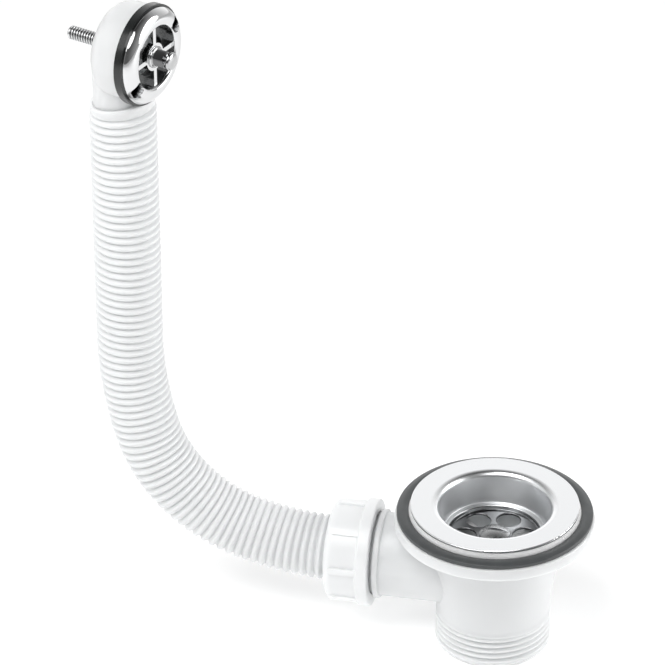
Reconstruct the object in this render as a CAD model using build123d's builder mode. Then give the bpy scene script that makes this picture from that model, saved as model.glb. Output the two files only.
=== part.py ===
from build123d import *
from math import cos, floor, radians, sin
import os

# Basin waste with a separate overflow, in millimetres. The origin is on the waste's axis, in the plane
# where the basin's floor is clamped. +Z is up through the plug hole, and the overflow branch runs along -X.

# Clearance of round pieces that fit into each other
FIT = 0.1

# Strainer flange, pressed from sheet
FLANGE_RADIUS = 30.5
FLANGE_EDGE = 0.3
SHEET = 0.8
MOUTH_RADIUS = 20.7
LIP_RADIUS = 2.6
BOWL_DEPTH = 11.7
BOWL_FOOT_RADIUS = 18.5
LEDGE_WIDTH = 1.6
LEDGE_RADIUS = 1.0
CORNER_RADIUS = 0.5
GRID_DROP = 1.6
GRID_INSET = 0.6
GRID_HOLES = 6
GRID_HOLE_RADIUS = 4.45
GRID_CIRCLE_RADIUS = 10.9
GRID_TURN = 11.6
GRID_HOLE_EDGE = 0.3

# Screw through the grid
SCREW_RADIUS = 3.0
SCREW_HEAD_RADIUS = 5.5
SCREW_HEAD_HEIGHT = 2.4
SCREW_RIM = 0.8
SCREW_SLOT_WIDTH = 1.4
SCREW_SLOT_DEPTH = 1.3
SCREW_END_CHAMFER = 0.6

# Washers on either side of the basin's floor
UPPER_WASHER_THICKNESS = 2.0
LOWER_WASHER_THICKNESS = 1.7
LOWER_WASHER_RADIUS = 35.5
LOWER_WASHER_EDGE = 0.5
WASHER_MARGIN = 0.9

# Waste body
BODY_FLANGE_RADIUS = 36.2
BODY_FLANGE_THICKNESS = 4.7
BODY_FLANGE_EDGE = 0.8
BODY_MOUTH_RADIUS = 23.6
BELL_RADIUS = 25.5
BELL_FILLET = 3.0
BELL_NECK = 2.0
BELL_SAG = 0.7
BELL_HEIGHT = 34.6
WAIST_RADIUS = 20.6
WAIST_STEP = 0.6
WALL = 2.6
THREAD_RADIUS = 20.955
THREAD_LENGTH = 13.4
THREAD_CHAMFER = 1.2
OUTLET_RADIUS = 17.6

# Hub inside the body, with the brass bush for the screw
HUB_RADIUS = 6.6
HUB_LENGTH = 12.0
HUB_DROP = 3.0
RIB_THICKNESS = 2.2
RIB_COUNT = 4
INSERT_RADIUS = 4.6
INSERT_LENGTH = 10.0

# Branch for the hose
BRANCH_DEPTH = 24.2
BRANCH_RADIUS = 15.4
BRANCH_LENGTH = 42.5
BEAD_RADIUS = 16.4
BEAD_WIDTH = 2.2
BEAD_EDGE = 0.6
BEAD_FOOT = 0.3
SPIGOT_RADIUS = 15.0
SPIGOT_LENGTH = 11.0
SOCKET_DEPTH = 16.0
SEAT_DEPTH = 4.5
SEAT_WIDTH = 1.6

# Compression nut, with its collar next to the bead
NUT_GAP = 1.0
NUT_LENGTH = 16.8
NUT_RADIUS = 18.5
NUT_ROUND = 3.2
NUT_LIP = 4.6
NUT_MOUTH_CLEARANCE = 0.9
COLLAR_RADIUS = 19.8
COLLAR_WIDTH = 4.5
COLLAR_EDGE = 0.7
NUT_RIBS = 8
NUT_TURN = 8.0
NUT_RIB_WIDTH = 2.4
NUT_RIB_HEIGHT = 0.8
NUT_RIB_SETBACK = 2.0

# Convoluted hose: a straight socket, three tangent bends and a straight run up
HOSE_RADIUS = 12.0
HOSE_GROOVE = 1.2
HOSE_PITCH = 2.91
HOSE_BORE_RADIUS = 9.8
HOSE_END_RADIUS = 11.6
HOSE_LEAD = 1.3
LEAD_IN_RADIUS = 115.0
LEAD_IN_TURN = 17.2
MAIN_BEND_RADIUS = 56.0
RUN_OUT_RADIUS = 149.0
RUN_OUT_TURN = 15.4
UPRIGHT_LENGTH = 96.5
CUFF_RADIUS = 11.7
CUFF_RIM_RADIUS = 12.0
CUFF_RIM_HEIGHT = 1.2
CUFF_LENGTH = 4.0
CUFF_STEP = 0.4
CUFF_DEPTH = 3.2
CUFF_SKEW = 12.0
FOLD_SKEW = 7.0
SKEW_LENGTH = 60.0

# Overflow head, turned about the hose's upright run
HEAD_TURN = -20.3
HEAD_RISE = 19.5
CUP_RADIUS = 17.0
CUP_DEPTH = 13.2
CUP_BACK = 4.0
CUP_ROUND = 6.0
CUP_WALL = 2.0
NECK_RADIUS = 10.4
NECK_WALL = 2.0
NECK_NOSE_RADIUS = 9.5
NECK_NOSE_LENGTH = 6.0
HUMP_DROP = 4.0
HUMP_ROUND = 6.0
BOSS_RADIUS = 5.2
BOSS_HEIGHT = 5.0
BUSH_RADIUS = 3.7
FACE_WASHER_RADIUS = 18.2
FACE_WASHER_THICKNESS = 2.7
FACE_WASHER_BORE = 7.5
WASHER_ROOM = 0.3
FACE_RADIUS = 17.3
FACE_THICKNESS = 3.5
FACE_EDGE = 0.8
FACE_SLOPE = 4.3
FACE_OPENING_RADIUS = 11.3
FACE_INNER_ROUND = 1.1
SPOKES = 4
SPOKE_WIDTH = 1.7
SPOKE_THICKNESS = 2.2
FACE_HUB_RADIUS = 5.0
FACE_HOLE_WIDTH = 3.7
FACE_HOLE_ROUND = 0.6
FACE_HOLE_TAPER = 12.0
FACE_HOLE_ANGLE = 32.0
FACE_HOLES = 2

# Bolt through the face, with the grooved end for a plug's chain
BOLT_RADIUS = 2.5
BOLT_TIP = 17.2
BOLT_CHAMFER = 0.5
POST_COLLAR_RADIUS = 3.9
POST_COLLAR_HEIGHT = 0.9
POST_RADIUS = 2.95
POST_LENGTH = 3.6
POST_GROOVE_RADIUS = 2.2
POST_GROOVE_WIDTH = 1.3
POST_END_RADIUS = 3.2
POST_END_LENGTH = 1.6
POST_EDGE = 0.4

# Levels along the waste's axis
flange_top = UPPER_WASHER_THICKNESS + SHEET
ledge_level = flange_top - BOWL_DEPTH
grid_level = ledge_level - GRID_DROP
grid_radius = BOWL_FOOT_RADIUS - LEDGE_WIDTH - GRID_INSET
body_top = -LOWER_WASHER_THICKNESS
flange_underside = body_top - BODY_FLANGE_THICKNESS
bell_start = flange_underside - BELL_FILLET - BELL_NECK
waist_level = flange_underside - BELL_HEIGHT
outlet_level = waist_level - WAIST_STEP - THREAD_LENGTH
hub_top = grid_level - SHEET - HUB_DROP
hub_bottom = hub_top - HUB_LENGTH
insert_bottom = hub_top - INSERT_LENGTH
washer_bore = MOUTH_RADIUS + LIP_RADIUS + WASHER_MARGIN
screw_hole = SCREW_RADIUS + FIT

# Places along the branch, counted outwards from the waste's axis
branch_level = -BRANCH_DEPTH
spigot_end = BRANCH_LENGTH + SPIGOT_LENGTH
socket_stop = spigot_end - SOCKET_DEPTH
nut_start = BRANCH_LENGTH + NUT_GAP
nut_end = nut_start + NUT_LENGTH
nut_shoulder = nut_end - NUT_LIP
socket_radius = HOSE_END_RADIUS + 2 * FIT
thread_clearance = 2 * FIT

branch_axis = Axis((0, 0, branch_level), (-1, 0, 0))
# Sketch plane along the branch: x counts outwards from the waste's axis and y up from the branch's axis
branch_section = Plane(origin=(0, 0, branch_level), x_dir=(-1, 0, 0), z_dir=(0, 1, 0))

os.makedirs("parts", exist_ok=True)


def write(piece, name):
    piece.label = name
    export_step(piece, f"parts/{name}.step")


# Strainer flange: one sheet section turned about the axis, with the grid of holes
with BuildPart() as strainer_flange:
    with BuildSketch(Plane.XZ):
        with BuildLine():
            face_line = FilletPolyline(
                (FLANGE_RADIUS, flange_top),
                (MOUTH_RADIUS, flange_top),
                (BOWL_FOOT_RADIUS, ledge_level),
                (BOWL_FOOT_RADIUS - LEDGE_WIDTH, ledge_level),
                (grid_radius, grid_level),
                (screw_hole, grid_level),
                radius=(LIP_RADIUS, CORNER_RADIUS, LEDGE_RADIUS, CORNER_RADIUS),
            )
            offset(face_line, amount=SHEET, side=Side.LEFT)
        make_face()
    revolve(axis=Axis.Z)
    with PolarLocations(GRID_CIRCLE_RADIUS, GRID_HOLES, start_angle=GRID_TURN):
        Hole(GRID_HOLE_RADIUS)
    grid_face = strainer_flange.faces().filter_by(GeomType.PLANE).sort_by(Axis.Z)[1]
    grid_hole_edges = grid_face.edges().group_by(SortBy.RADIUS)[1]
    fillet(grid_hole_edges, radius=GRID_HOLE_EDGE)
    rim = strainer_flange.edges().filter_by(GeomType.CIRCLE).sort_by(SortBy.RADIUS)[-2:]
    fillet(rim.sort_by(Axis.Z)[-1], radius=FLANGE_EDGE)
write(strainer_flange.part, "strainer_flange")

# Screw: domed head with a slot, resting on the grid
with BuildPart() as waste_screw:
    with BuildSketch(Plane.XZ):
        with BuildLine():
            Polyline(
                (0, grid_level + SCREW_HEAD_HEIGHT),
                (0, insert_bottom),
                (SCREW_RADIUS - SCREW_END_CHAMFER, insert_bottom),
                (SCREW_RADIUS, insert_bottom + SCREW_END_CHAMFER),
                (SCREW_RADIUS, grid_level),
                (SCREW_HEAD_RADIUS, grid_level),
                (SCREW_HEAD_RADIUS, grid_level + SCREW_RIM),
            )
            TangentArc(
                (0, grid_level + SCREW_HEAD_HEIGHT),
                (SCREW_HEAD_RADIUS, grid_level + SCREW_RIM),
                tangent=(1, 0),
            )
        make_face()
    revolve(axis=Axis.Z)
    with BuildSketch(Plane.XY.offset(grid_level + SCREW_HEAD_HEIGHT - SCREW_SLOT_DEPTH)):
        Rectangle(2 * SCREW_HEAD_RADIUS + SCREW_SLOT_WIDTH, SCREW_SLOT_WIDTH)
    extrude(amount=SCREW_HEAD_HEIGHT, mode=Mode.SUBTRACT)
write(waste_screw.part, "waste_screw")

# Brass bush in the hub
with BuildPart() as waste_insert:
    with BuildSketch(Plane.XY.offset(insert_bottom)):
        Circle(INSERT_RADIUS)
        Circle(screw_hole, mode=Mode.SUBTRACT)
    extrude(amount=INSERT_LENGTH)
write(waste_insert.part, "waste_insert")

# White washer under the steel flange
with BuildPart() as upper_washer:
    with BuildSketch(Plane.XY):
        Circle(FLANGE_RADIUS)
        Circle(washer_bore, mode=Mode.SUBTRACT)
    extrude(amount=UPPER_WASHER_THICKNESS)
write(upper_washer.part, "upper_washer")

# Dark washer on the body's flange
with BuildPart() as lower_washer:
    with BuildSketch(Plane.XY.offset(body_top)):
        Circle(LOWER_WASHER_RADIUS)
        Circle(washer_bore, mode=Mode.SUBTRACT)
    extrude(amount=LOWER_WASHER_THICKNESS)
    outer_edges = lower_washer.edges().filter_by(GeomType.CIRCLE).sort_by(SortBy.RADIUS)[-2:]
    fillet(outer_edges, radius=LOWER_WASHER_EDGE)
write(lower_washer.part, "lower_washer")

# Bell of the waste body, still solid, from its flange to its outlet
with BuildPart() as bell:
    with BuildSketch(Plane.XZ):
        with BuildLine():
            FilletPolyline(
                (0, body_top),
                (BODY_FLANGE_RADIUS, body_top),
                (BODY_FLANGE_RADIUS, flange_underside),
                (BELL_RADIUS, flange_underside),
                (BELL_RADIUS, bell_start),
                radius=(BODY_FLANGE_EDGE, BODY_FLANGE_EDGE, BELL_FILLET),
            )
            SagittaArc((BELL_RADIUS, bell_start), (WAIST_RADIUS, waist_level), -BELL_SAG)
            Polyline(
                (WAIST_RADIUS, waist_level),
                (THREAD_RADIUS, waist_level - WAIST_STEP),
                (THREAD_RADIUS, outlet_level + THREAD_CHAMFER),
                (THREAD_RADIUS - THREAD_CHAMFER, outlet_level),
                (0, outlet_level),
                (0, body_top),
            )
        make_face()
    revolve(axis=Axis.Z)

# Hub on ribs that stand clear of the branch and end in the bell's wall
with BuildPart() as spider:
    with BuildSketch(Plane.XY.offset(hub_bottom)):
        Circle(HUB_RADIUS)
        with PolarLocations(0, RIB_COUNT, start_angle=180 / RIB_COUNT):
            Rectangle(BODY_FLANGE_RADIUS, RIB_THICKNESS, align=(Align.MIN, Align.CENTER))
    extrude(amount=HUB_LENGTH)
    add(bell.part, mode=Mode.INTERSECT)

# Waste body: bell and branch, hollowed, with the hub inside
with BuildPart() as waste_body:
    add(bell.part)
    with BuildSketch(branch_section):
        with BuildLine():
            FilletPolyline(
                (0, BRANCH_RADIUS),
                (BRANCH_LENGTH - BEAD_WIDTH, BRANCH_RADIUS),
                (BRANCH_LENGTH - BEAD_WIDTH, BEAD_RADIUS),
                (BRANCH_LENGTH, BEAD_RADIUS),
                (BRANCH_LENGTH, SPIGOT_RADIUS),
                radius=(BEAD_FOOT, BEAD_EDGE, BEAD_EDGE),
            )
            Polyline(
                (BRANCH_LENGTH, SPIGOT_RADIUS),
                (spigot_end, SPIGOT_RADIUS),
                (spigot_end, 0),
                (0, 0),
                (0, BRANCH_RADIUS),
            )
        make_face()
    revolve(axis=branch_axis)
    # Hollow of the bell and the outlet
    with BuildSketch(Plane.XZ):
        with BuildLine():
            Polyline(
                (0, body_top),
                (BODY_MOUTH_RADIUS, body_top),
                (BELL_RADIUS - WALL, bell_start),
            )
            SagittaArc(
                (BELL_RADIUS - WALL, bell_start),
                (OUTLET_RADIUS, waist_level),
                -BELL_SAG,
            )
            Polyline(
                (OUTLET_RADIUS, waist_level),
                (OUTLET_RADIUS, outlet_level),
                (0, outlet_level),
                (0, body_top),
            )
        make_face()
    revolve(axis=Axis.Z, mode=Mode.SUBTRACT)
    # Way in from the branch, the hose's socket and the seal's tapered seat
    with BuildSketch(branch_section):
        with BuildLine():
            Polyline(
                (0, 0),
                (0, HOSE_BORE_RADIUS),
                (socket_stop, HOSE_BORE_RADIUS),
                (socket_stop, socket_radius),
                (spigot_end - SEAT_DEPTH, socket_radius),
                (spigot_end, socket_radius + SEAT_WIDTH),
                (spigot_end, 0),
                (0, 0),
            )
        make_face()
    revolve(axis=branch_axis, mode=Mode.SUBTRACT)
    add(spider.part)
    with BuildSketch(Plane.XY.offset(insert_bottom)):
        Circle(INSERT_RADIUS)
    extrude(amount=INSERT_LENGTH, mode=Mode.SUBTRACT)
    with BuildSketch(Plane.XY.offset(hub_bottom)):
        Circle(screw_hole)
    extrude(amount=HUB_LENGTH, mode=Mode.SUBTRACT)
write(waste_body.part, "waste_body")

# Compression nut: collar, ribbed barrel and inward lip
with BuildPart() as hose_nut:
    mouth_radius = HOSE_RADIUS + NUT_MOUTH_CLEARANCE
    nut_bore = SPIGOT_RADIUS + thread_clearance
    with BuildSketch(branch_section):
        with BuildLine():
            FilletPolyline(
                (nut_start, nut_bore),
                (nut_start, COLLAR_RADIUS),
                (nut_start + COLLAR_WIDTH, COLLAR_RADIUS),
                (nut_start + COLLAR_WIDTH, NUT_RADIUS),
                (nut_end, NUT_RADIUS),
                (nut_end, mouth_radius),
                radius=(COLLAR_EDGE, COLLAR_EDGE, COLLAR_EDGE, NUT_ROUND),
            )
            Polyline(
                (nut_end, mouth_radius),
                (nut_shoulder, mouth_radius),
                (nut_shoulder, nut_bore),
                (nut_start, nut_bore),
            )
        make_face()
    revolve(axis=branch_axis)
    # Ribs with a round end, each on its own plane that faces outwards from the branch's axis
    rib_foot = nut_bore + thread_clearance
    rib_start = nut_start + COLLAR_WIDTH / 2
    rib_length = nut_end - NUT_RIB_SETBACK - NUT_RIB_WIDTH / 2 - rib_start
    rib_planes = []
    for rib in range(NUT_RIBS):
        rib_angle = radians(NUT_TURN + rib * 360 / NUT_RIBS)
        rib_facing = Vector(0, -cos(rib_angle), sin(rib_angle))
        rib_origin = Vector(-rib_start, 0, branch_level) + rib_facing * rib_foot
        rib_planes.append(Plane(origin=rib_origin, x_dir=(-1, 0, 0), z_dir=rib_facing))
    with BuildSketch(*rib_planes):
        Rectangle(rib_length, NUT_RIB_WIDTH, align=(Align.MIN, Align.CENTER))
        with Locations((rib_length, 0)):
            Circle(NUT_RIB_WIDTH / 2)
    extrude(amount=NUT_RADIUS + NUT_RIB_HEIGHT - rib_foot)
write(hose_nut.part, "hose_nut")

# Tapered seal between the spigot's mouth, the hose and the nut's lip
with BuildPart() as hose_seal:
    with BuildSketch(branch_section):
        with BuildLine():
            seal_bore = HOSE_END_RADIUS + FIT
            Polyline(
                (spigot_end - SEAT_DEPTH, seal_bore),
                (spigot_end + FIT, socket_radius + SEAT_WIDTH - FIT),
                (spigot_end + FIT, SPIGOT_RADIUS),
                (nut_shoulder, SPIGOT_RADIUS),
                (nut_shoulder, seal_bore),
                (spigot_end - SEAT_DEPTH, seal_bore),
            )
        make_face()
    revolve(axis=branch_axis)
write(hose_seal.part, "hose_seal")

# Route of the hose in the XZ plane: out of the socket, round three tangent bends and straight up
bends = (
    (LEAD_IN_RADIUS, LEAD_IN_TURN),
    (MAIN_BEND_RADIUS, 90 - LEAD_IN_TURN - RUN_OUT_TURN),
    (RUN_OUT_RADIUS, RUN_OUT_TURN),
)
plain_length = nut_shoulder - socket_stop
with BuildLine(Plane.XZ) as route:
    start = -socket_stop - FIT
    reach = -nut_shoulder - HOSE_LEAD
    level = branch_level
    Line((start, level), (reach, level))
    heading = 0
    for radius, turn in bends:
        centre_x = reach + radius * sin(radians(heading))
        centre_z = level + radius * cos(radians(heading))
        CenterArc((centre_x, centre_z), radius, -90 - heading, -turn)
        heading += turn
        reach = centre_x - radius * sin(radians(heading))
        level = centre_z - radius * cos(radians(heading))
    Line((reach, level), (reach, level + UPRIGHT_LENGTH))
hose_top = Vector(reach, 0, level + UPRIGHT_LENGTH)
cuff_peak = hose_top.Z + CUFF_RIM_RADIUS * sin(radians(CUFF_SKEW))
hose_length = route.wire().length
folds = floor((hose_length - plain_length - CUFF_LENGTH) / HOSE_PITCH)
cuff_start = plain_length + folds * HOSE_PITCH


def across(distance):
    """Plane of a fold at a distance along the route, square to the hose but leaning over near its top."""
    point = route.wire().position_at(distance, PositionMode.LENGTH)
    heading_there = route.wire().tangent_at(distance, PositionMode.LENGTH)
    up_folds = min(1, max(0, 1 + (distance - cuff_start) / SKEW_LENGTH))
    up_cuff = max(0, (distance - cuff_start) / (hose_length - cuff_start))
    lean = FOLD_SKEW * up_folds + (CUFF_SKEW - FOLD_SKEW) * up_cuff
    return Plane(origin=point, x_dir=(0, 1, 0), z_dir=heading_there.rotate(Axis.Y, -lean))


# Overflow head: its axis, and places along the axis counted forwards from the hose's axis
head_centre = hose_top + Vector(0, 0, HEAD_RISE)
facing = Vector(cos(radians(HEAD_TURN)), sin(radians(HEAD_TURN)), 0)
sideways = Vector(0, 0, 1).cross(facing)
head_axis = Axis(head_centre, facing)
# Sketch plane along the head's axis: x counts up from the axis and y forwards along it
head_section = Plane(origin=head_centre, x_dir=(0, 0, 1), z_dir=sideways)
cup_back = -CUP_BACK
cup_rim = cup_back + CUP_DEPTH
face_back = cup_rim + FACE_WASHER_THICKNESS
face_front = face_back + FACE_THICKNESS
hub_front = face_back + SPOKE_THICKNESS
face_hole_circle = (FACE_RADIUS + FACE_OPENING_RADIUS) / 2
bolt_hole = BOLT_RADIUS + FIT


def facing_plane(distance):
    """Plane square to the head's axis, at a distance forwards from the hose's axis."""
    return Plane(origin=head_centre + facing * distance, x_dir=sideways, z_dir=facing)


# Convoluted hose: circles at each crest and root joined by straight flanks, then bored
with BuildPart() as overflow_hose:
    stations = [(0, HOSE_END_RADIUS), (plain_length, HOSE_END_RADIUS)]
    for fold in range(folds):
        fold_start = plain_length + fold * HOSE_PITCH
        stations.append((fold_start + HOSE_PITCH / 2, HOSE_RADIUS))
        stations.append((fold_start + HOSE_PITCH, HOSE_RADIUS - HOSE_GROOVE))
    stations.append((cuff_start + CUFF_STEP, CUFF_RADIUS))
    stations.append((hose_length - CUFF_RIM_HEIGHT - CUFF_STEP, CUFF_RADIUS))
    stations.append((hose_length - CUFF_RIM_HEIGHT, CUFF_RIM_RADIUS))
    stations.append((hose_length, CUFF_RIM_RADIUS))
    for distance, radius in stations:
        with BuildSketch(across(distance)):
            Circle(radius)
    loft(ruled=True)
    with BuildSketch(across(0)):
        Circle(HOSE_BORE_RADIUS)
    sweep(path=route.wire(), mode=Mode.SUBTRACT)
    with BuildSketch(Plane(origin=(hose_top.X, hose_top.Y, cuff_peak))):
        Circle(NECK_RADIUS + FIT)
    extrude(amount=hose_top.Z - CUFF_DEPTH - cuff_peak, mode=Mode.SUBTRACT)
    # Room for the head's washer above the front of the cuff
    with BuildSketch(facing_plane(cup_rim)):
        Circle(FACE_WASHER_RADIUS + WASHER_ROOM)
    extrude(amount=CUFF_RIM_RADIUS, mode=Mode.SUBTRACT)
write(overflow_hose.part, "overflow_hose")

# Overflow elbow: cup and neck, hollowed, with a boss for the bolt
with BuildPart() as overflow_elbow:
    neck_foot = hose_top.Z - CUFF_DEPTH + FIT
    hump_top = head_centre.Z - HUMP_DROP
    with BuildSketch(Plane(origin=(hose_top.X, hose_top.Y, neck_foot))):
        Circle(NECK_RADIUS)
    extrude(amount=hump_top - neck_foot)
    fillet(overflow_elbow.edges().sort_by(Axis.Z)[-1], radius=HUMP_ROUND)
    with BuildSketch(Plane(origin=(hose_top.X, hose_top.Y, neck_foot))):
        Circle(NECK_NOSE_RADIUS)
    extrude(amount=-NECK_NOSE_LENGTH)
    # Room for the washer and the face above the front of the neck
    with BuildSketch(facing_plane(cup_rim)):
        Circle(FACE_WASHER_RADIUS + WASHER_ROOM)
    extrude(amount=NECK_RADIUS, mode=Mode.SUBTRACT)
    with BuildSketch(head_section):
        with BuildLine():
            FilletPolyline((0, cup_back), (CUP_RADIUS, cup_back), (CUP_RADIUS, cup_rim), radius=CUP_ROUND)
            Polyline((CUP_RADIUS, cup_rim), (0, cup_rim), (0, cup_back))
        make_face()
    revolve(axis=head_axis)
    # Hollow of the cup and bore of the neck
    with BuildSketch(facing_plane(cup_rim)):
        Circle(CUP_RADIUS - CUP_WALL)
    extrude(amount=CUP_WALL - CUP_DEPTH, mode=Mode.SUBTRACT)
    with BuildSketch(Plane(origin=(hose_top.X, hose_top.Y, neck_foot - NECK_NOSE_LENGTH))):
        Circle(NECK_RADIUS - NECK_WALL)
    extrude(amount=hump_top - HUMP_ROUND - neck_foot + NECK_NOSE_LENGTH, mode=Mode.SUBTRACT)
    with BuildSketch(facing_plane(cup_back)):
        Circle(BOSS_RADIUS)
    extrude(amount=BOSS_HEIGHT)
    with BuildSketch(facing_plane(cup_back)):
        Circle(BUSH_RADIUS)
    extrude(amount=BOSS_HEIGHT, mode=Mode.SUBTRACT)
write(overflow_elbow.part, "overflow_elbow")

# Brass bush in the boss
with BuildPart() as overflow_insert:
    with BuildSketch(facing_plane(cup_back)):
        Circle(BUSH_RADIUS)
        Circle(bolt_hole, mode=Mode.SUBTRACT)
    extrude(amount=BOSS_HEIGHT)
write(overflow_insert.part, "overflow_insert")

# Dark washer between the cup and the face
with BuildPart() as overflow_washer:
    with BuildSketch(facing_plane(cup_rim)):
        Circle(FACE_WASHER_RADIUS)
        Circle(FACE_WASHER_BORE, mode=Mode.SUBTRACT)
    extrude(amount=FACE_WASHER_THICKNESS)
write(overflow_washer.part, "overflow_washer")

# Chrome face: domed ring, spokes and hub, with two square holes in the ring
with BuildPart() as overflow_face:
    with BuildSketch(head_section):
        with BuildLine():
            FilletPolyline(
                (FACE_RADIUS - FACE_SLOPE, face_front),
                (FACE_OPENING_RADIUS, face_front),
                (FACE_OPENING_RADIUS, face_back),
                radius=FACE_INNER_ROUND,
            )
            Polyline(
                (FACE_OPENING_RADIUS, face_back),
                (FACE_RADIUS, face_back),
                (FACE_RADIUS, face_back + FACE_EDGE),
            )
            TangentArc(
                (FACE_RADIUS - FACE_SLOPE, face_front),
                (FACE_RADIUS, face_back + FACE_EDGE),
                tangent=(1, 0),
            )
        make_face()
    revolve(axis=head_axis)
    with BuildSketch(facing_plane(face_back)):
        Circle(FACE_HUB_RADIUS)
        with PolarLocations(0, SPOKES):
            Rectangle(FACE_OPENING_RADIUS + FACE_EDGE, SPOKE_WIDTH, align=(Align.MIN, Align.CENTER))
        Circle(bolt_hole, mode=Mode.SUBTRACT)
    extrude(amount=SPOKE_THICKNESS)
    with BuildSketch(facing_plane(face_back)):
        with PolarLocations(face_hole_circle, FACE_HOLES, start_angle=FACE_HOLE_ANGLE):
            RectangleRounded(FACE_HOLE_WIDTH, FACE_HOLE_WIDTH, FACE_HOLE_ROUND)
    extrude(amount=FACE_THICKNESS, taper=-FACE_HOLE_TAPER, mode=Mode.SUBTRACT)
write(overflow_face.part, "overflow_face")

# Bolt: chain post with its collar and groove in front, plain shank to the tip behind
with BuildPart() as overflow_bolt:
    bolt_tip = cup_back - BOLT_TIP
    post_start = hub_front + POST_COLLAR_HEIGHT
    groove_start = post_start + POST_LENGTH
    end_start = groove_start + POST_GROOVE_WIDTH
    post_end = end_start + POST_END_LENGTH
    with BuildSketch(head_section):
        with BuildLine():
            Polyline(
                (0, bolt_tip),
                (BOLT_RADIUS - BOLT_CHAMFER, bolt_tip),
                (BOLT_RADIUS, bolt_tip + BOLT_CHAMFER),
                (BOLT_RADIUS, hub_front),
                (POST_COLLAR_RADIUS, hub_front),
                (POST_COLLAR_RADIUS, post_start - POST_EDGE),
                (POST_COLLAR_RADIUS - POST_EDGE, post_start),
                (POST_RADIUS, post_start),
                (POST_RADIUS, groove_start),
                (POST_GROOVE_RADIUS, groove_start),
                (POST_GROOVE_RADIUS, end_start),
                (POST_END_RADIUS, end_start),
                (POST_END_RADIUS, post_end - POST_EDGE),
                (POST_END_RADIUS - POST_EDGE, post_end),
                (0, post_end),
                (0, bolt_tip),
            )
        make_face()
    revolve(axis=head_axis)
write(overflow_bolt.part, "overflow_bolt")
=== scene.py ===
import bmesh
import bpy
from math import atan2, ceil, cos, floor, pi, radians, sin
from mathutils import Matrix, Vector


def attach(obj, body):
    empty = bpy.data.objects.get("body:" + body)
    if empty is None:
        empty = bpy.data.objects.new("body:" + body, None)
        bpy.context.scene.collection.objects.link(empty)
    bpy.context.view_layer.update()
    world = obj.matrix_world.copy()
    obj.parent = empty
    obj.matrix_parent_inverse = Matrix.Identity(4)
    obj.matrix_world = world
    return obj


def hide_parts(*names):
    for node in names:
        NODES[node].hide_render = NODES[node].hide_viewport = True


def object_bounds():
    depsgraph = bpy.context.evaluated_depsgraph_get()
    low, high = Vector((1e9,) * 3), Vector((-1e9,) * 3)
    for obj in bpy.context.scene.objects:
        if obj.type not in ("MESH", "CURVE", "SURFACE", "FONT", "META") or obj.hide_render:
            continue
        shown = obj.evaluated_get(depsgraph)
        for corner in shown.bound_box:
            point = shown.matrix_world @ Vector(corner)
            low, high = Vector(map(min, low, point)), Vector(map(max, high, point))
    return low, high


# Basin waste with a separate overflow. Sizes are in metres and angles in degrees, unless a name
# says otherwise.

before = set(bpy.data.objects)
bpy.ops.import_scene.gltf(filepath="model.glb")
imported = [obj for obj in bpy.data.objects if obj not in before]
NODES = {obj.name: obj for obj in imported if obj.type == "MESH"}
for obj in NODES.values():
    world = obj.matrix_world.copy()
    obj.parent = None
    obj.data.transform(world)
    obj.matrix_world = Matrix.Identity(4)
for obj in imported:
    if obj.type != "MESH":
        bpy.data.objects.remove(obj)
cad_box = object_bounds()

# Camera, solved from the photograph
IMAGE_PX = 665
FOCAL_PX = 4500
SENSOR_MM = 36.0
VIEW_AZIMUTH = 11.635
VIEW_ELEVATION = 31.577
VIEW_ROLL = -0.206
VIEW_AIM = Vector((-0.050, 0.0, 0.060))
VIEW_DISTANCE = 1.60028
VIEW_RIGHT = -0.009409
VIEW_UP = 0.007935

# Hose: a straight socket, three tangent bends and a straight run up, as the solid has it
HOSE_START = 0.0376
HOSE_LEVEL = -0.0242
BEND_START = 0.0570
BENDS = ((0.115, 17.2), (0.056, 57.4), (0.149, 15.4))
UPRIGHT_LENGTH = 0.0965
HOSE_RADIUS = 0.0120
HOSE_GROOVE = 0.0012
HOSE_PITCH = 0.00291
HOSE_BORE = 0.0098
HOSE_END_RADIUS = 0.0116
PLAIN_LENGTH = 0.0182
CUFF_RADIUS = 0.0117
CUFF_RIM_RADIUS = 0.0120
CUFF_RIM_HEIGHT = 0.0012
CUFF_LENGTH = 0.0040
CUFF_DEPTH = 0.0032
CUFF_BORE = 0.0105
CUFF_SKEW = 12.0
FOLD_SKEW = 7.0
SKEW_LENGTH = 0.060
WASHER_ROOM_RADIUS = 0.0185
WASHER_BACK = 0.0092
HOSE_EDGE = 0.0003
HOSE_SEGMENTS = 96
FOLD_STEPS = 10
FOLD_POWER = 1.7
BORE_STEP = 0.004

# Shading: edges sharper than this many degrees stay sharp
SHARP_ANGLE = 30.0
HOSE_SHARP_ANGLE = 50.0

# Washers under the steel flange: the white one bulges out below, and the dark one swells round it
WASHER_MIDDLE = 0.0010
WASHER_EDGE = 0.0295
WASHER_BULGE = 0.0007
SWELL_START = 0.0313
SWELL_HEIGHT = 0.0004
RUBBER_RADIUS = 0.0355
RUBBER_UNDERSIDE = -0.0017
RUBBER_EDGE = 0.0005
RUBBER_SEGMENTS = 144
SWELL_STEPS = 14
EDGE_STEPS = 5

# Threads, cut into the plain cylinders of the solids
OUTLET_RADIUS = 0.020955
OUTLET_THREAD = (-0.0538, -0.0416)
OUTLET_PITCH = 0.002309
OUTLET_THREAD_DEPTH = 0.00125
BOLT_RADIUS = 0.0025
BOLT_PITCH = 0.00106
BOLT_THREAD_DEPTH = 0.00055
BOLT_THREAD_LENGTH = 0.0180
THREAD_ROWS = 14
THREAD_FLAT = 0.2
THREAD_LEAD_IN = 1.5
ON_CYLINDER = 2e-5
SAME_POINT = 1e-7

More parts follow.
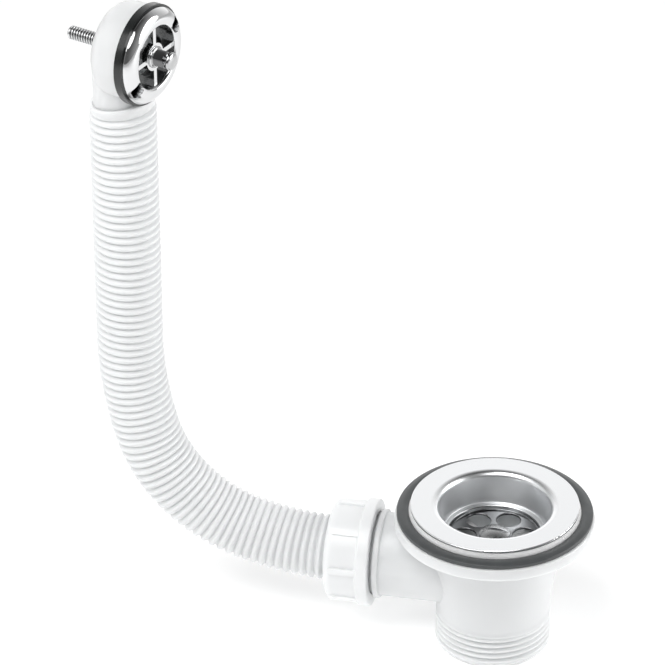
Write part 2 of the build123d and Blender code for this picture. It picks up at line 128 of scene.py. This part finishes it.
# Overflow head: where its axis stands and which way it faces
HEAD_CENTRE = Vector((-0.133786, 0.0, 0.175135))
HEAD_FACING = Vector((0.937889, -0.346936, 0.0))
BOLT_BACK = -0.0207
BOLT_SHOULDER = 0.0141

# Finishes and painted shade: where they change, in distances from an axis or along it
FACE_HOLE_ANGLE = 32.0
FACE_HOLE_CIRCLE = 0.0143
FACE_HOLE_REACH = (0.0029, 0.0034)
FACE_HOLE_DEPTH = (0.0130, 0.0142)
BOLT_FRONT = (0.004, 0.006)
BOLT_CREST_EDGE = 0.0001
BOLT_CREST = (BOLT_RADIUS - BOLT_THREAD_DEPTH, BOLT_RADIUS - BOLT_CREST_EDGE)
POST_SHAFT = (0.0148, 0.0152)
POST_END = (0.0196, 0.0200)
GRID_TO_WALL = (0.0168, 0.0170)
BOWL_TO_FLANGE = (0.0195, 0.0235)
TURNING_STRETCH = 0.0006

# Plastics: two colours, the range of roughness, and how deep and how strongly light gets in
PLASTICS = {
    "white_plastic": ((0.70, 0.71, 0.715), (0.75, 0.76, 0.765), (0.28, 0.40), 0.0040, 1.0),
    "nut_plastic": ((0.81, 0.82, 0.825), (0.86, 0.87, 0.875), (0.26, 0.36), 0.0020, 0.5),
    "white_washer": ((0.93, 0.94, 0.94), (0.96, 0.97, 0.97), (0.45, 0.60), 0.0030, 0.8),
    "hose_plastic": ((0.73, 0.74, 0.745), (0.78, 0.79, 0.795), (0.32, 0.44), 0.0020, 0.5),
}
PLASTIC_IOR = 1.49

# Rubbers and turned metals: two colours and the range of roughness
RUBBERS = {
    "dark_rubber": ((0.042, 0.046, 0.047), (0.070, 0.075, 0.077), (0.28, 0.42)),
    "glossy_rubber": ((0.008, 0.009, 0.009), (0.018, 0.020, 0.020), (0.14, 0.22)),
}
TURNED_METALS = {
    "brass_bush": ((0.62, 0.44, 0.17), (0.74, 0.55, 0.24), (0.25, 0.38)),
    "dull_bush": ((0.20, 0.20, 0.205), (0.28, 0.28, 0.285), (0.35, 0.48)),
    "screw_steel": ((0.43, 0.435, 0.44), (0.53, 0.535, 0.54), (0.22, 0.34)),
}

# Colours and ranges of roughness of the pressing, the face and the bolt; some colours are painted
# shade and one is a painted dark reflection
# Painted shade inside the bowl: the grid and the bowl's wall are darker than the flange's steel
GRID_SHADE_COLOUR = (0.22, 0.225, 0.23)
BOWL_SHADE_COLOUR = (0.74, 0.75, 0.76)
FLANGE_COLOUR = (0.86, 0.87, 0.88)
BOWL_ROUGHNESS = (0.30, 0.46)
POLISHED_ROUGHNESS = (0.12, 0.20)
PLATE_COLOURS = ((0.64, 0.645, 0.65), (0.70, 0.705, 0.71))
PLATE_ROUGHNESS = (0.03, 0.09)
# Painted shade down in the face's square holes
HOLE_SHADE_COLOUR = (0.04, 0.04, 0.042)
# Painted shade in the bolt thread's roots
ROOT_SHADE_COLOUR = (0.06, 0.06, 0.062)
CREST_COLOUR = (0.68, 0.685, 0.69)
POST_COLOUR = (0.60, 0.605, 0.61)
# Painted dark reflection on the post's shaft
SHAFT_REFLECTION_COLOUR = (0.15, 0.152, 0.154)
END_COLOUR = (0.48, 0.484, 0.488)
BOLT_ROUGHNESS = (0.20, 0.05)

# Fine relief: its height and how strongly it shows
PLASTIC_GRAIN = (0.00008, 0.25)
RUBBER_GRAIN = (0.00005, 0.3)
PRESSING_MARKS = (0.00003, 0.3)
TURNING_MARKS = (0.00002, 0.3)
PLATE_RIPPLE = (0.00004, 0.3)
BOLT_GRAIN = (0.00003, 0.3)

# Floor
FLOOR_SIZE = 8.0
FLOOR_GAP = 0.0003
FLOOR_WHITE = 0.93
FLOOR_ROUGHNESS = 0.85
FLOOR_GLOW = 0.25

# White tent and lamps, by directions seen from the camera: to the right, to the front and up
TENT_SIDES = (
    ((0, 1, 0), 0.12),
    ((0, -1, 0), 1.50),
    ((-1, 0, 0), 0.30),
    ((1, 0, 0), 0.45),
)
TENT_FALL_OFF = 2.0
LAMP_SIZE = 0.9
LAMPS = (
    ("lamp_left", (-1.10, 0.0, 0.35), 1.6),
    ("lamp_left_front", (-0.80, 0.50, 0.90), 3.0),
    ("lamp_top_left", (-0.45, 0.45, 1.10), 8.0),
    ("lamp_front", (0.0, 0.90, 1.10), 4.6),
    ("lamp_right", (1.10, 0.0, 0.35), 7.2),
)


def smooth_step(value):
    value = min(1.0, max(0.0, value))
    return value * value * (3 - 2 * value)


def shade(mesh, angle=SHARP_ANGLE):
    """Smooth shading with sharp edges kept where faces meet at more than an angle."""
    mesh.shade_smooth()
    mesh.set_sharp_from_angle(angle=radians(angle))


def add_piece(name, mesh, node):
    """New piece that stands for a CAD node and moves with the part."""
    piece = bpy.data.objects.new(name, mesh)
    bpy.context.scene.collection.objects.link(piece)
    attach(piece, "root")
    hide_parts(node)


def closed_rings(rings, segments):
    """Faces of a closed skin over rings of points, whose last ring joins the first."""
    faces = []
    for ring in range(rings):
        after = (ring + 1) % rings
        for segment in range(segments):
            beside = (segment + 1) % segments
            faces.append((
                ring * segments + segment,
                ring * segments + beside,
                after * segments + beside,
                after * segments + segment,
            ))
    return faces


# Hose: its route and its folds

def route_line():
    """Function for the point and heading at a distance along the route, and the route's length."""
    spans = [("line", BEND_START - HOSE_START, Vector((-HOSE_START, 0, HOSE_LEVEL)), 0.0, None)]
    corner = Vector((-BEND_START, 0, HOSE_LEVEL))
    turned = 0.0
    for radius, turn in BENDS:
        spans.append(("arc", radius * radians(turn), corner.copy(), turned, radius))
        centre = corner + radius * Vector((sin(turned), 0, cos(turned)))
        turned += radians(turn)
        corner = centre - radius * Vector((sin(turned), 0, cos(turned)))
    spans.append(("line", UPRIGHT_LENGTH, corner.copy(), turned, None))
    length = sum(span[1] for span in spans)

    def at(distance):
        for kind, span_length, origin, start_turn, radius in spans:
            if distance <= span_length or (kind == "line" and start_turn > 0):
                break
            distance -= span_length
        if kind == "line":
            heading = start_turn
            point = origin + distance * Vector((-cos(heading), 0, sin(heading)))
        else:
            heading = start_turn + distance / radius
            centre = origin + radius * Vector((sin(start_turn), 0, cos(start_turn)))
            point = centre - radius * Vector((sin(heading), 0, cos(heading)))
        return point, heading

    return at, length


def hose_stations(length, folds):
    """Outer outline of the hose: distance along the route and radius, fold by fold."""
    stations = [(0.0, HOSE_END_RADIUS - HOSE_EDGE), (HOSE_EDGE, HOSE_END_RADIUS)]
    stations.append((PLAIN_LENGTH - HOSE_EDGE, HOSE_END_RADIUS))
    for step in range(folds * FOLD_STEPS + 1):
        share = step / FOLD_STEPS
        groove = (0.5 + 0.5 * cos(2 * pi * share)) ** FOLD_POWER
        stations.append((PLAIN_LENGTH + share * HOSE_PITCH, HOSE_RADIUS - HOSE_GROOVE * groove))
    rim = length - CUFF_RIM_HEIGHT
    cuff = PLAIN_LENGTH + folds * HOSE_PITCH
    stations += [
        (cuff + 2 * HOSE_EDGE, CUFF_RADIUS - HOSE_EDGE),
        (cuff + 3 * HOSE_EDGE, CUFF_RADIUS),
        (rim - 3 * HOSE_EDGE, CUFF_RADIUS),
        (rim - HOSE_EDGE, CUFF_RIM_RADIUS - HOSE_EDGE / 2),
        (rim, CUFF_RIM_RADIUS),
        (length - HOSE_EDGE, CUFF_RIM_RADIUS),
        (length - HOSE_EDGE / 3, CUFF_RIM_RADIUS - HOSE_EDGE / 3),
        (length, CUFF_RIM_RADIUS - HOSE_EDGE),
    ]
    return stations


def bore_stations(length):
    """Inside of the hose from its top down: the neck's socket and the bore."""
    floor_at = length - CUFF_DEPTH
    stations = [(length, CUFF_BORE + HOSE_EDGE), (length - HOSE_EDGE, CUFF_BORE)]
    stations += [(floor_at, CUFF_BORE), (floor_at, HOSE_BORE)]
    bore_steps = ceil(floor_at / BORE_STEP)
    for step in range(1, bore_steps + 1):
        stations.append((floor_at * (1 - step / bore_steps), HOSE_BORE))
    return stations


def under_washer(point):
    """The point, pushed down where the cuff would stand in the head washer's room."""
    forwards = (point - HEAD_CENTRE).dot(HEAD_FACING)
    aside = (point - HEAD_CENTRE).dot(HEAD_FACING.cross(Vector((0, 0, 1))))
    if forwards > WASHER_BACK and abs(aside) < WASHER_ROOM_RADIUS:
        point.z = min(point.z, HEAD_CENTRE.z - (WASHER_ROOM_RADIUS ** 2 - aside ** 2) ** 0.5)
    return point


def make_hose():
    """Hose with its rounded folds, whose upper folds and cuff lean over."""
    at, length = route_line()
    folds = floor((length - PLAIN_LENGTH - CUFF_LENGTH) / HOSE_PITCH)
    cuff_start = PLAIN_LENGTH + folds * HOSE_PITCH
    stations = hose_stations(length, folds)
    outside = len(stations)
    stations += bore_stations(length)
    vertices = []
    for ring, (distance, radius) in enumerate(stations):
        point, heading = at(distance)
        up_folds = min(1.0, max(0.0, 1 + (distance - cuff_start) / SKEW_LENGTH))
        up_cuff = max(0.0, (distance - cuff_start) / (length - cuff_start))
        lean = radians(FOLD_SKEW * up_folds + (CUFF_SKEW - FOLD_SKEW) * up_cuff)
        # Inside, only the mouth leans, and the socket stays an upright cylinder
        if ring > outside + 1:
            lean = 0.0
        across = Vector((sin(heading - lean), 0, cos(heading - lean)))
        if ring >= outside:
            across /= cos(lean)
        for segment in range(HOSE_SEGMENTS):
            angle = 2 * pi * segment / HOSE_SEGMENTS
            around = cos(angle) * across + sin(angle) * Vector((0, 1, 0))
            vertices.append(under_washer(point + radius * around))
    mesh = bpy.data.meshes.new("hose")
    mesh.from_pydata(vertices, [], closed_rings(len(stations), HOSE_SEGMENTS))
    shade(mesh, HOSE_SHARP_ANGLE)
    mesh.materials.append(NODES["overflow_hose"].data.materials[0])
    add_piece("hose", mesh, "overflow_hose")


# Washers

def make_washer():
    """Washer under the steel flange, which bulges out a little below."""
    shape = bmesh.new()
    shape.from_mesh(NODES["upper_washer"].data)
    for vertex in shape.verts:
        outwards = Vector((vertex.co.x, vertex.co.y, 0))
        if vertex.co.z < WASHER_MIDDLE and outwards.length > WASHER_EDGE:
            vertex.co += WASHER_BULGE * outwards.normalized()
    mesh = bpy.data.meshes.new("flange_washer")
    shape.to_mesh(mesh)
    shape.free()
    shade(mesh)
    mesh.materials.clear()
    mesh.materials.append(NODES["upper_washer"].data.materials[0])
    add_piece("flange_washer", mesh, "upper_washer")


def make_rubber():
    """Lower washer, turned round the axis, whose rim swells up where nothing presses on it."""
    solid = NODES["lower_washer"].data
    bore = min(Vector((vertex.co.x, vertex.co.y)).length for vertex in solid.vertices)
    rim = RUBBER_RADIUS - RUBBER_EDGE
    outline = [(bore, RUBBER_UNDERSIDE), (bore, 0.0)]
    for step in range(SWELL_STEPS + 1):
        share = step / SWELL_STEPS
        outline.append((SWELL_START + share * (rim - SWELL_START), SWELL_HEIGHT * sin(pi * share)))
    for step in range(1, EDGE_STEPS + 1):
        angle = pi / 2 * step / EDGE_STEPS
        outline.append((rim + RUBBER_EDGE * sin(angle), RUBBER_EDGE * (cos(angle) - 1)))
    for step in range(EDGE_STEPS + 1):
        angle = pi / 2 * step / EDGE_STEPS
        level = RUBBER_UNDERSIDE + RUBBER_EDGE * (1 - sin(angle))
        outline.append((rim + RUBBER_EDGE * cos(angle), level))
    vertices = []
    for radius, level in outline:
        for segment in range(RUBBER_SEGMENTS):
            angle = 2 * pi * segment / RUBBER_SEGMENTS
            vertices.append((radius * cos(angle), radius * sin(angle), level))
    mesh = bpy.data.meshes.new("rubber_washer")
    mesh.from_pydata(vertices, [], closed_rings(len(outline), RUBBER_SEGMENTS))
    shade(mesh)
    mesh.materials.append(solid.materials[0])
    add_piece("rubber_washer", mesh, "lower_washer")


# Threads

def thread_groove(share):
    """How deep a thread's groove is, from 0 on the crest to 1 at the root, over one pitch."""
    from_crest = abs(2 * (share % 1.0) - 1)
    return min(1.0, max(0.0, (from_crest - THREAD_FLAT) / (1 - 2 * THREAD_FLAT)))


def threaded_copy(name, node, origin, axis, radius, start, end, thread_end, pitch, depth):
    """Copy of a CAD node whose cylinder, between two places on an axis, is cut into a thread."""
    axis = Vector(axis).normalized()
    side = axis.orthogonal().normalized()
    other = axis.cross(side)
    shape = bmesh.new()
    shape.from_mesh(NODES[node].data)
    bmesh.ops.remove_doubles(shape, verts=shape.verts, dist=SAME_POINT)

    def along(vertex):
        return (vertex.co - origin).dot(axis)

    def on_cylinder(vertex):
        place = vertex.co - origin
        level = place.dot(axis)
        off_cylinder = abs((place - axis * level).length - radius)
        return off_cylinder < ON_CYLINDER and start - ON_CYLINDER < level < end + ON_CYLINDER

    plain = [face for face in shape.faces if all(on_cylinder(vertex) for vertex in face.verts)]
    bmesh.ops.delete(shape, geom=plain, context="FACES")
    rims = [vertex for vertex in shape.verts if vertex.is_boundary]

    def turn(vertex):
        place = vertex.co - origin
        return atan2(place.dot(other), place.dot(side)) % (2 * pi)

    first, last = (
        sorted((vertex for vertex in rims if abs(along(vertex) - place) < ON_CYLINDER), key=turn)
        for place in (start, end)
    )
    angles = [turn(vertex) for vertex in first]
    steps = ceil((thread_end - start) / pitch * THREAD_ROWS)
    levels = [start + (thread_end - start) * step / steps for step in range(1, steps)]
    if thread_end < end - ON_CYLINDER:
        levels.append(thread_end)
    rows = [first]
    for level in levels:
        fade_in = smooth_step((level - start) / pitch * THREAD_LEAD_IN)
        fade = fade_in * smooth_step((thread_end - level) / pitch)
        row = []
        for angle in angles:
            reach = radius - depth * fade * thread_groove(level / pitch - angle / (2 * pi))
            outwards = cos(angle) * side + sin(angle) * other
            row.append(shape.verts.new(origin + axis * level + reach * outwards))
        rows.append(row)
    rows.append(last)
    for row, after in zip(rows, rows[1:]):
        for index in range(len(row)):
            beside = (index + 1) % len(row)
            shape.faces.new((row[index], row[beside], after[beside], after[index]))
    bmesh.ops.recalc_face_normals(shape, faces=shape.faces)
    mesh = bpy.data.meshes.new(name)
    shape.to_mesh(mesh)
    shape.free()
    shade(mesh)
    mesh.materials.clear()
    mesh.materials.append(NODES[node].data.materials[0])
    add_piece(name, mesh, node)


def make_housing():
    threaded_copy(
        "waste_housing", "waste_body",
        origin=Vector(), axis=(0, 0, 1), radius=OUTLET_RADIUS,
        start=OUTLET_THREAD[0], end=OUTLET_THREAD[1], thread_end=OUTLET_THREAD[1],
        pitch=OUTLET_PITCH, depth=OUTLET_THREAD_DEPTH,
    )


def make_bolt():
    threaded_copy(
        "bolt", "overflow_bolt",
        origin=HEAD_CENTRE, axis=HEAD_FACING, radius=BOLT_RADIUS,
        start=BOLT_BACK, end=BOLT_SHOULDER, thread_end=BOLT_BACK + BOLT_THREAD_LENGTH,
        pitch=BOLT_PITCH, depth=BOLT_THREAD_DEPTH,
    )


# Materials

class Paint:
    """A Principled material with procedural nodes in the part's own coordinates."""

    def __init__(self, name):
        self.material = bpy.data.materials.new(name)
        self.material.use_nodes = True
        self.tree = self.material.node_tree
        self.shader = self.tree.nodes["Principled BSDF"]
        self.place = self.node("ShaderNodeTexCoord").outputs["Object"]

    def node(self, kind, **settings):
        made = self.tree.nodes.new(kind)
        for setting, value in settings.items():
            setattr(made, setting, value)
        return made

    def link(self, output, target):
        self.tree.links.new(output, target)

    def set(self, socket, value):
        self.shader.inputs[socket].default_value = value

    def drive(self, socket, output):
        self.link(output, self.shader.inputs[socket])

    def math(self, operation, first, second):
        made = self.node("ShaderNodeMath", operation=operation)
        for target, value in zip(made.inputs, (first, second)):
            if isinstance(value, (int, float)):
                target.default_value = value
            else:
                self.link(value, target)
        return made.outputs["Value"]

    def noise(self, scale, detail=3.0, place=None):
        made = self.node("ShaderNodeTexNoise")
        made.inputs["Scale"].default_value = scale
        made.inputs["Detail"].default_value = detail
        self.link(place or self.place, made.inputs["Vector"])
        return made.outputs["Fac"]

    def ranged(self, value, low, high, start=0.0, end=1.0):
        made = self.node("ShaderNodeMapRange")
        self.link(value, made.inputs["Value"])
        limits = {"From Min": start, "From Max": end, "To Min": low, "To Max": high}
        for name, limit in limits.items():
            made.inputs[name].default_value = limit
        return made.outputs["Result"]

    def colours(self, share, low, high):
        made = self.node("ShaderNodeMix", data_type="RGBA")
        self.link(share, made.inputs["Factor"])
        made.inputs[6].default_value = (*low, 1)
        made.inputs[7].default_value = (*high, 1)
        return made.outputs[2]

    def blend(self, share, low, high):
        """Colours from one that is worked out to a plain one."""
        made = self.node("ShaderNodeMix", data_type="RGBA")
        self.link(share, made.inputs["Factor"])
        self.link(low, made.inputs[6])
        made.inputs[7].default_value = (*high, 1)
        return made.outputs[2]

    def between(self, share, low, high):
        made = self.node("ShaderNodeMix", data_type="FLOAT")
        for socket, value in (("Factor", share), (2, low), (3, high)):
            self.link(value, made.inputs[socket])
        return made.outputs[0]

    def bump(self, height, distance, strength):
        made = self.node("ShaderNodeBump")
        made.inputs["Strength"].default_value = strength
        made.inputs["Distance"].default_value = distance
        self.link(height, made.inputs["Height"])
        self.drive("Normal", made.outputs["Normal"])

    def vector(self, operation, first, second):
        made = self.node("ShaderNodeVectorMath", operation=operation)
        self.link(first, made.inputs[0])
        if isinstance(second, (tuple, Vector)):
            made.inputs[1].default_value = second
        else:
            self.link(second, made.inputs[1])
        return made.outputs["Value" if operation == "DOT_PRODUCT" else "Vector"]

    def off_axis(self, origin, direction):
        """Distance from a line."""
        moved = self.vector("SUBTRACT", self.place, origin)
        aside = self.vector("SUBTRACT", moved, self.vector("PROJECT", moved, direction))
        length = self.node("ShaderNodeVectorMath", operation="LENGTH")
        self.link(aside, length.inputs[0])
        return length.outputs["Value"]

    def radius(self):
        """Distance from the waste's axis."""
        return self.off_axis((0, 0, 0), (0, 0, 1))

    def turned(self):
        """Coordinates that run round the waste's axis, for marks of turning and pressing."""
        parts = self.node("ShaderNodeSeparateXYZ")
        self.link(self.place, parts.inputs[0])
        angle = self.math("ARCTAN2", parts.outputs["Y"], parts.outputs["X"])
        made = self.node("ShaderNodeCombineXYZ")
        self.link(self.radius(), made.inputs["X"])
        self.link(self.math("MULTIPLY", angle, TURNING_STRETCH), made.inputs["Y"])
        self.link(parts.outputs["Z"], made.inputs["Z"])
        return made.outputs["Vector"]

    def along_head(self):
        """Distance forwards along the overflow head's axis."""
        moved = self.vector("SUBTRACT", self.place, HEAD_CENTRE)
        return self.vector("DOT_PRODUCT", moved, HEAD_FACING)


def moulded_plastic(name):
    """Moulded plastic with faint mottling and a fine satin grain, that lets some light through."""
    low, high, roughness, depth, weight = PLASTICS[name]
    paint = Paint(name)
    mottling, gloss, grain = paint.noise(45), paint.noise(220), paint.noise(1800, 2.0)
    paint.drive("Base Color", paint.colours(mottling, low, high))
    paint.drive("Roughness", paint.ranged(gloss, *roughness))
    paint.bump(grain, *PLASTIC_GRAIN)
    paint.set("Subsurface Weight", weight)
    paint.set("Subsurface Radius", (1.0, 1.0, 1.0))
    paint.set("Subsurface Scale", depth)
    paint.set("IOR", PLASTIC_IOR)
    return paint.material


def rubber(name):
    """Rubber with fine mottling and grain."""
    low, high, roughness = RUBBERS[name]
    paint = Paint(name)
    mottling, gloss, grain = paint.noise(260), paint.noise(500), paint.noise(1600)
    paint.drive("Base Color", paint.colours(mottling, low, high))
    paint.drive("Roughness", paint.ranged(gloss, *roughness))
    paint.bump(grain, *RUBBER_GRAIN)
    return paint.material


def pressed_steel():
    """Bright flange that turns into a satin bowl with marks of pressing, and a smoother grid. The
    bowl's wall is painted darker than the flange and the grid darker still, as painted shade inside
    the bowl.
    """
    paint = Paint("pressed_steel")
    on_flange = paint.ranged(paint.radius(), 0, 1, *BOWL_TO_FLANGE)
    on_wall = paint.ranged(paint.radius(), 0, 1, *GRID_TO_WALL)
    marks, gloss = paint.noise(2600, 4.0, paint.turned()), paint.noise(150)
    # Painted shade: the bowl's wall is darker than the flange and the grid darker still
    shaded_inside = paint.colours(on_wall, GRID_SHADE_COLOUR, BOWL_SHADE_COLOUR)
    paint.drive("Base Color", paint.blend(on_flange, shaded_inside, FLANGE_COLOUR))
    satin = paint.ranged(marks, *BOWL_ROUGHNESS)
    smooth = paint.ranged(marks, *POLISHED_ROUGHNESS)
    polished = paint.ranged(gloss, *POLISHED_ROUGHNESS)
    in_bowl = paint.between(on_wall, smooth, satin)
    paint.drive("Roughness", paint.between(on_flange, in_bowl, polished))
    paint.bump(marks, *PRESSING_MARKS)
    paint.set("Metallic", 1.0)
    return paint.material


def turned_metal(name):
    """Metal with fine marks of turning round the waste's axis."""
    low, high, roughness = TURNED_METALS[name]
    paint = Paint(name)
    marks, gloss = paint.noise(1800, 3.0, paint.turned()), paint.noise(700)
    paint.drive("Base Color", paint.colours(marks, low, high))
    paint.drive("Roughness", paint.ranged(gloss, *roughness))
    paint.bump(marks, *TURNING_MARKS)
    paint.set("Metallic", 1.0)
    return paint.material


def chrome():
    """Chrome plate, with painted shade down in the two square holes."""
    paint = Paint("chrome_plate")
    mottling, gloss, ripple = paint.noise(80), paint.noise(300), paint.noise(120, 2.0)
    plate = paint.colours(mottling, *PLATE_COLOURS)
    aside = HEAD_FACING.cross(Vector((0, 0, 1)))
    angle = radians(FACE_HOLE_ANGLE)
    to_hole = FACE_HOLE_CIRCLE * (sin(angle) * Vector((0, 0, 1)) - cos(angle) * aside)
    holes = [paint.off_axis(HEAD_CENTRE + way * to_hole, HEAD_FACING) for way in (1, -1)]
    by_hole = paint.ranged(paint.math("MINIMUM", *holes), 1, 0, *FACE_HOLE_REACH)
    deep = paint.ranged(paint.along_head(), 1, 0, *FACE_HOLE_DEPTH)
    # Painted shade: the plate turns dark down in the two square holes
    hole_shade = paint.math("MULTIPLY", by_hole, deep)
    paint.drive("Base Color", paint.blend(hole_shade, plate, HOLE_SHADE_COLOUR))
    paint.drive("Roughness", paint.ranged(gloss, *PLATE_ROUGHNESS))
    paint.bump(ripple, *PLATE_RIPPLE)
    paint.set("Metallic", 1.0)
    return paint.material


def bolt_metal():
    """Steel thread behind, with painted shade in its roots, and a chrome post in front, with a
    painted dark reflection on its shaft between its collars.
    """
    paint = Paint("bolt_metal")
    forwards = paint.along_head()
    in_front = paint.ranged(forwards, 0, 1, *BOLT_FRONT)
    on_shaft = paint.ranged(forwards, 0, 1, *POST_SHAFT)
    on_end = paint.ranged(forwards, 0, 1, *POST_END)
    on_crest = paint.ranged(paint.off_axis(HEAD_CENTRE, HEAD_FACING), 0, 1, *BOLT_CREST)
    # Painted shade: the thread's roots are dark and its crests bright
    colour = paint.colours(on_crest, ROOT_SHADE_COLOUR, CREST_COLOUR)
    # The shaft's dark colour is a painted dark reflection
    stretches = ((in_front, POST_COLOUR), (on_shaft, SHAFT_REFLECTION_COLOUR), (on_end, END_COLOUR))
    for share, metal in stretches:
        colour = paint.blend(share, colour, metal)
    paint.drive("Base Color", colour)
    paint.drive("Roughness", paint.ranged(in_front, *BOLT_ROUGHNESS))
    paint.bump(paint.noise(900), *BOLT_GRAIN)
    paint.set("Metallic", 1.0)
    return paint.material


def dress_nodes():
    """Gives each CAD node its finish. The new pieces take theirs from the nodes that they replace."""
    white, matt = moulded_plastic("white_plastic"), moulded_plastic("white_washer")
    finishes = {
        "strainer_flange": pressed_steel(),
        "waste_screw": turned_metal("screw_steel"),
        "waste_insert": turned_metal("brass_bush"),
        "upper_washer": matt,
        "lower_washer": rubber("dark_rubber"),
        "waste_body": white,
        "hose_nut": moulded_plastic("nut_plastic"),
        "hose_seal": matt,
        "overflow_hose": moulded_plastic("hose_plastic"),
        "overflow_elbow": white,
        "overflow_insert": turned_metal("dull_bush"),
        "overflow_washer": rubber("glossy_rubber"),
        "overflow_face": chrome(),
        "overflow_bolt": bolt_metal(),
    }
    for node, finish in finishes.items():
        NODES[node].data.materials.clear()
        NODES[node].data.materials.append(finish)


# Camera and studio

def make_camera():
    """Camera at the photograph's angle and framing."""
    azimuth, elevation, roll = map(radians, (VIEW_AZIMUTH, VIEW_ELEVATION, VIEW_ROLL))
    level_forward = Vector((-sin(azimuth), cos(azimuth), 0))
    forward = cos(elevation) * level_forward - sin(elevation) * Vector((0, 0, 1))
    level_right = Vector((cos(azimuth), sin(azimuth), 0))
    level_up = level_right.cross(forward)
    right = cos(roll) * level_right + sin(roll) * level_up
    up = cos(roll) * level_up - sin(roll) * level_right
    data = bpy.data.cameras.new("camera")
    data.sensor_width = SENSOR_MM
    data.lens = data.sensor_width * FOCAL_PX / IMAGE_PX
    camera = bpy.data.objects.new("camera", data)
    camera.matrix_world = Matrix((right, up, -forward)).transposed().to_4x4()
    camera.location = VIEW_AIM - VIEW_DISTANCE * forward + VIEW_RIGHT * right + VIEW_UP * up
    bpy.context.scene.collection.objects.link(camera)
    bpy.context.scene.camera = camera


def make_floor():
    """Plain pale floor under the part."""
    half = FLOOR_SIZE / 2
    level = cad_box[0].z - FLOOR_GAP
    mesh = bpy.data.meshes.new("floor")
    corners = [(x * half, y * half, level) for x, y in ((-1, -1), (1, -1), (1, 1), (-1, 1))]
    mesh.from_pydata(corners, [], [(0, 1, 2, 3)])
    floor_plane = bpy.data.objects.new("floor", mesh)
    bpy.context.scene.collection.objects.link(floor_plane)
    paint = Paint("floor_paper")
    paint.set("Base Color", (FLOOR_WHITE, FLOOR_WHITE, FLOOR_WHITE, 1))
    paint.set("Roughness", FLOOR_ROUGHNESS)
    paint.set("Emission Color", (1, 1, 1, 1))
    paint.set("Emission Strength", FLOOR_GLOW)
    mesh.materials.append(paint.material)


def seen_from_camera(right, front, up):
    """Vector that is given by directions seen from the camera, in the part's frame."""
    azimuth = radians(VIEW_AZIMUTH)
    level_right = Vector((cos(azimuth), sin(azimuth), 0))
    level_front = Vector((sin(azimuth), -cos(azimuth), 0))
    return right * level_right + front * level_front + up * Vector((0, 0, 1))


def make_sky():
    """White tent, brightest behind the part and dimmest towards the camera."""
    world = bpy.data.worlds.new("studio")
    world.use_nodes = True
    tree = world.node_tree
    directions = tree.nodes.new("ShaderNodeTexCoord")
    glows = []
    for side, strength in TENT_SIDES:
        facing = tree.nodes.new("ShaderNodeVectorMath")
        facing.operation = "DOT_PRODUCT"
        facing.inputs[1].default_value = seen_from_camera(*side)
        tree.links.new(directions.outputs["Generated"], facing.inputs[0])
        glow = facing.outputs["Value"]
        for operation, value in (("MAXIMUM", 0.0), ("POWER", TENT_FALL_OFF), ("MULTIPLY", strength)):
            step = tree.nodes.new("ShaderNodeMath")
            step.operation = operation
            step.inputs[1].default_value = value
            tree.links.new(glow, step.inputs[0])
            glow = step.outputs["Value"]
        glows.append(glow)
    total = glows[0]
    for glow in glows[1:]:
        both = tree.nodes.new("ShaderNodeMath")
        tree.links.new(total, both.inputs[0])
        tree.links.new(glow, both.inputs[1])
        total = both.outputs["Value"]
    tree.links.new(total, tree.nodes["Background"].inputs["Strength"])
    tree.nodes["Background"].inputs["Color"].default_value = (1, 1, 1, 1)
    bpy.context.scene.world = world


def make_lamps():
    """Soft round lamps that all face the part."""
    for name, place, watts in LAMPS:
        data = bpy.data.lights.new(name, "AREA")
        data.shape = "DISK"
        data.size = LAMP_SIZE
        data.energy = watts
        lamp = bpy.data.objects.new(name, data)
        offset = seen_from_camera(*place)
        lamp.location = VIEW_AIM + offset
        lamp.rotation_mode = "QUATERNION"
        lamp.rotation_quaternion = offset.to_track_quat("Z", "Y")
        bpy.context.scene.collection.objects.link(lamp)


def make_studio():
    bpy.context.scene.view_settings.view_transform = "Standard"
    make_floor()
    make_sky()
    make_lamps()


dress_nodes()
make_hose()
make_washer()
make_rubber()
make_housing()
make_bolt()
make_camera()
make_studio()
